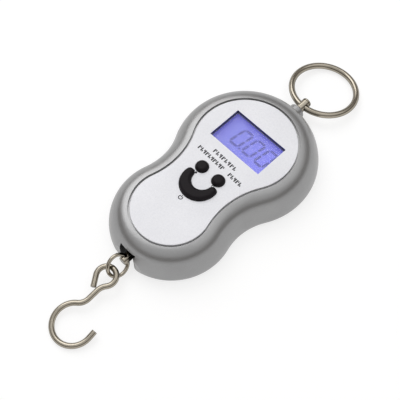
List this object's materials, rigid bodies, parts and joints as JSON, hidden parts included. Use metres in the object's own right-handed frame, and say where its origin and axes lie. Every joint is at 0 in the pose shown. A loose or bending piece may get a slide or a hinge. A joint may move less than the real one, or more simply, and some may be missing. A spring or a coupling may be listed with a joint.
{
  "type": "digital luggage scale",
  "caption": "Hand-held digital luggage scale with a two-lobed housing, a swivelling pull ring, a swivelling wire hook, a display window and push keys.",
  "frame": {"origin": "on the back face, on the middle plane, halfway along the housing's length without its end flat and post boss", "axes": "+X across the housing, to the right of the display; +Y along it towards the pull ring; +Z out of the display"},
  "size_m": [0.07, 0.1978, 0.0199],
  "materials": {
    "silver_paint": "satin silver paint on moulded plastic",
    "plate_silver": "fine-textured pale silver plate",
    "clear": "clear polished window",
    "lcd": "blue-violet liquid-crystal glass",
    "backlight": "milky light guide",
    "black_plastic": "black moulded plastic",
    "key_black": "soft black keys with a low sheen",
    "rubber": "striped contact rubber",
    "board": "green circuit board",
    "chip": "black resin and chip bodies",
    "lead": "soft insulated lead",
    "nickel": "warm nickel plating on steel wire",
    "steel": "zinc-plated steel",
    "cell_alloy": "milled aluminium",
    "gauge": "amber foil gauges",
    "contact": "nickel-plated spring steel",
    "battery": "plain wrapped cells",
    "nylon": "natural nylon"
  },
  "bodies": {
    "housing": {"front_shell": "silver_paint", "back_shell": "silver_paint", "slot_liner": "black_plastic", "faceplate": "plate_silver", "display_lens": "clear", "lcd_glass": "lcd", "lcd_frame": "black_plastic", "backlight": "backlight", "backlight_lamp": "clear", "zebra_strip": "rubber", "main_board": "board", "board_chips": "chip", "key_switches": "chip", "load_cell": "cell_alloy", "strain_gauges": "gauge", "load_yoke": "steel", "cell_pins": "steel", "sensor_lead": "lead", "battery_left": "battery", "battery_right": "battery", "contact_plates": "contact", "contact_springs": "contact", "case_screws": "steel", "board_screws": "steel"},
    "ring_post": {"ring_post": "nickel", "post_nut": "steel", "post_washer": "nylon"},
    "pull_ring": {"pull_ring": "nickel"},
    "hook_shaft": {"hook_shaft": "nickel", "shaft_nut": "steel"},
    "link_ring": {"link_ring": "nickel"},
    "hook": {"hook": "nickel"},
    "left_key": {"left_key": "key_black"},
    "right_key": {"right_key": "key_black"},
    "smile_key": {"smile_key": "key_black"},
    "battery_door": {"battery_door": "silver_paint"}
  },
  "joints": [
    {"name": "post_swivel", "type": "hinge", "parent": "housing", "child": "ring_post", "pos_m": [0, 0.0546, 0.0068], "axis": [0, 1, 0], "continuous": true},
    {"name": "ring_hinge", "type": "hinge", "parent": "ring_post", "child": "pull_ring", "pos_m": [0, 0.0611, 0.0068], "axis": [1, 0, 0], "range_deg": [-85, 95]},
    {"name": "shaft_swivel", "type": "hinge", "parent": "housing", "child": "hook_shaft", "pos_m": [0, -0.05, 0.0068], "axis": [0, 1, 0], "continuous": true},
    {"name": "link_hinge", "type": "hinge", "parent": "hook_shaft", "child": "link_ring", "pos_m": [0, -0.055, 0.0068], "axis": [0.5, 0, -0.866], "range_deg": [-60, 60]},
    {"name": "hook_hinge", "type": "hinge", "parent": "link_ring", "child": "hook", "pos_m": [0, -0.0656, 0.0068], "axis": [0.5, 0, -0.866], "range_deg": [-30, 60]},
    {"name": "left_key_press", "type": "slide", "parent": "housing", "child": "left_key", "axis": [0, 0, -1], "range_m": [0, 0.0005], "stiffness_N_per_m": 600, "springref_m": -0.001},
    {"name": "right_key_press", "type": "slide", "parent": "housing", "child": "right_key", "axis": [0, 0, -1], "range_m": [0, 0.0005], "stiffness_N_per_m": 600, "springref_m": -0.001},
    {"name": "smile_key_press", "type": "slide", "parent": "housing", "child": "smile_key", "axis": [0, 0, -1], "range_m": [0, 0.0005], "stiffness_N_per_m": 600, "springref_m": -0.001},
    {"name": "door_hinge", "type": "hinge", "parent": "housing", "child": "battery_door", "pos_m": [0, 0.0089, 0], "axis": [1, 0, 0], "range_deg": [0, 80]}
  ]
}
